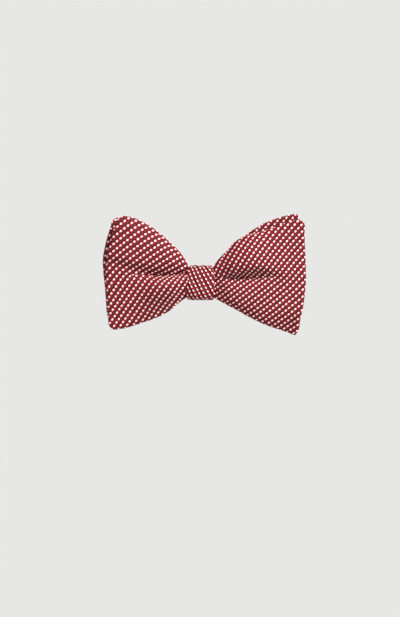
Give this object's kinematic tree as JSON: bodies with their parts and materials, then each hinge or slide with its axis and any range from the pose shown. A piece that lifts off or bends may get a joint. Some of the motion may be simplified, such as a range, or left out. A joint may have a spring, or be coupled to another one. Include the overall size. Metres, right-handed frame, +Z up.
{
  "type": "bow tie",
  "caption": "Pre-tied butterfly bow tie of dotted ribbed cloth: two stacked bows in a wrapped knot on an adjustable neckband that closes with a hook and eye.",
  "frame": {"origin": "centre of the knot's flat back face, where it rests on the collar", "axes": "-Y is the bow's front, +X the viewer's right of the bow seen from the front, +Z up when worn"},
  "size_m": [0.1077, 0.1443, 0.0637],
  "materials": {
    "cloth": "ribbed weave with small white dots",
    "lining": "brushed wool interlining",
    "thread": "sewing thread",
    "metal": "nickel plate",
    "label": "woven satin label"
  },
  "bodies": {
    "bow": {"front_bow_face": "cloth", "front_bow_interlining": "lining", "front_bow_backing": "cloth", "back_bow_face": "cloth", "back_bow_interlining": "lining", "back_bow_backing": "cloth", "knot_wrap": "cloth", "knot_interlining": "lining", "waist_thread": "thread", "knot_closing_stitch": "thread", "neckband_front": "cloth"},
    "left_band": {"neckband_left": "cloth", "eye_bar_tack": "thread", "blank_label": "label"},
    "eye": {"eye": "metal"},
    "right_band": {"neckband_right": "cloth"},
    "slider": {"slider_frame": "metal", "slider_strap": "cloth", "slider_bar_tack": "thread"},
    "hook_end": {"hook_strap": "cloth"},
    "hook": {"hook": "metal"}
  },
  "joints": [
    {"name": "left_band_swing", "type": "hinge", "parent": "bow", "child": "left_band", "pos_m": [-0.046, 0.0253, 0], "axis": [0, 0, 1], "range_deg": [0, 60]},
    {"name": "right_band_swing", "type": "hinge", "parent": "bow", "child": "right_band", "pos_m": [0.046, 0.0253, 0], "axis": [0, 0, 1], "range_deg": [-60, 0]},
    {"name": "eye_tilt", "type": "hinge", "parent": "left_band", "child": "eye", "pos_m": [0.04475, 0.09605, 0], "axis": [0, 0, 1], "range_deg": [-25, 0]},
    {"name": "slider_travel", "type": "slide", "parent": "right_band", "child": "slider", "axis": [0, 1, 0], "range_m": [-0.006, 0.005]},
    {"name": "hook_reach", "type": "slide", "parent": "right_band", "child": "hook_end", "axis": [0, 1, 0], "range_m": [-0.003, 0.0025]},
    {"name": "hook_tilt", "type": "hinge", "parent": "hook_end", "child": "hook", "pos_m": [0.04845, 0.0777, 0], "axis": [0, 0, 1], "range_deg": [-35, 0]}
  ],
  "couplings": [
    {"joint": "hook_reach", "follows": "slider_travel", "ratio": 0.5}
  ]
}
